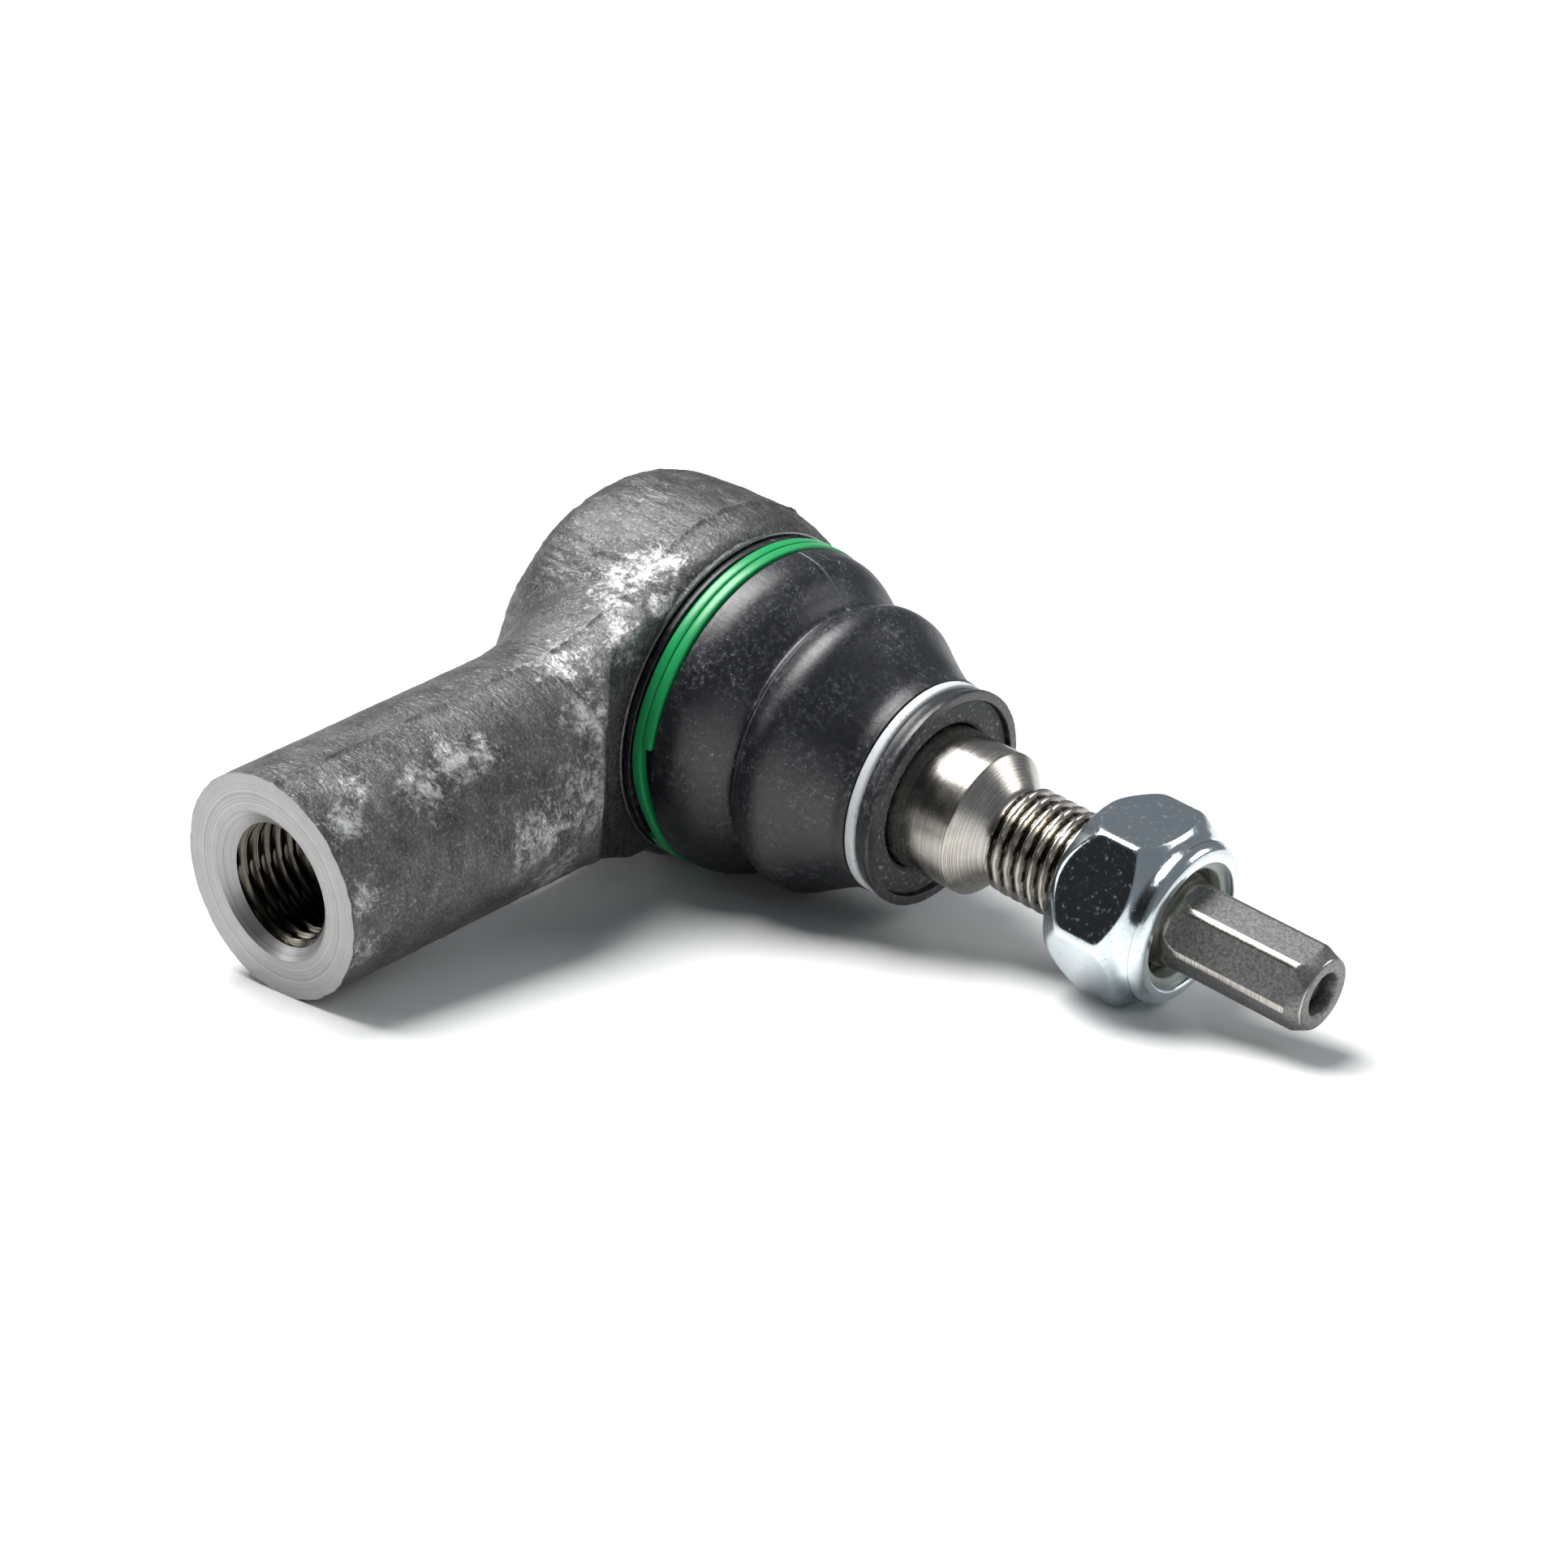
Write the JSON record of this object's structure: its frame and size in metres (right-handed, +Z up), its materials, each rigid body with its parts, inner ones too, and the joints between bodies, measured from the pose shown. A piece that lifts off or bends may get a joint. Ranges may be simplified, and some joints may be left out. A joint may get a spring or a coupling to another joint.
{
  "type": "tie rod end",
  "caption": "Outer tie rod end: forged head with an internally threaded shank, a swivelling ball stud under a rubber boot, and a lock nut on the stud's thread.",
  "frame": {"origin": "under the middle of the part's box, on the bench that it lies on: the end of the shank, the head and the lock nut touch the bench", "axes": "+X along the stud seen from above, from the ball to its tip, which hangs 9.5 degrees below level; the shank points to -Y and hangs 7.6 degrees below level; +Z up"},
  "size_m": [0.0994, 0.0846, 0.0416],
  "materials": {
    "forged_steel": "as forged, dark scale, rough, bright where scuffed",
    "seat_plastic": "moulded acetal, satin",
    "spring_steel": "phosphated strip, satin",
    "pressed_steel": "pressed sheet, lightly oiled",
    "turned_steel": "turned, bright",
    "boot_rubber": "moulded black rubber, satin",
    "coated_wire": "green coated spring wire",
    "ring_plastic": "pale grey moulded ring",
    "insert_plastic": "grey granular moulding",
    "zinc_plated_steel": "bright zinc plated, blue passivated",
    "nylon": "moulded nylon, translucent grey-green"
  },
  "bodies": {
    "housing": {"housing": "forged_steel", "ball_seat_front": "seat_plastic", "ball_seat_rear": "seat_plastic", "disc_spring": "spring_steel", "end_cover": "pressed_steel", "boot_ring_large": "coated_wire"},
    "bellows": {"boot": "boot_rubber"},
    "boot_neck": {"boot_ring_small": "ring_plastic", "boot_neck_insert": "insert_plastic"},
    "stud": {"ball_stud": "turned_steel"},
    "nut_thread": {"nylon_insert": "nylon"},
    "nut": {"lock_nut": "zinc_plated_steel"}
  },
  "joints": [
    {"name": "swing_sideways", "type": "hinge", "parent": "housing", "child": "bellows", "pos_m": [-0.03155, 0.02189, 0.02011], "axis": [0.1631, -0.1342, 0.9774], "range_deg": [-20, 20], "deforming": ["boot"]},
    {"name": "swing_up_down", "type": "hinge", "parent": "bellows", "child": "boot_neck", "pos_m": [-0.03155, 0.02189, 0.02011], "axis": [0.0221, 0.991, 0.1323], "range_deg": [-20, 20], "deforming": ["boot"]},
    {"name": "stud_spin", "type": "hinge", "parent": "boot_neck", "child": "stud", "pos_m": [-0.03155, 0.02189, 0.02011], "axis": [0.9864, 0, -0.1646], "continuous": true},
    {"name": "nut_travel", "type": "slide", "parent": "stud", "child": "nut_thread", "axis": [0.9864, 0, -0.1646], "range_m": [-0.0105, 0.0105]},
    {"name": "nut_turn", "type": "hinge", "parent": "nut_thread", "child": "nut", "pos_m": [0.02181, 0.02189, 0.0112], "axis": [0.9864, 0, -0.1646], "range_deg": [-2521, 2521]}
  ],
  "couplings": [
    {"joint": "nut_turn", "follows": "nut_travel", "rad_per_m": 4188.8}
  ]
}
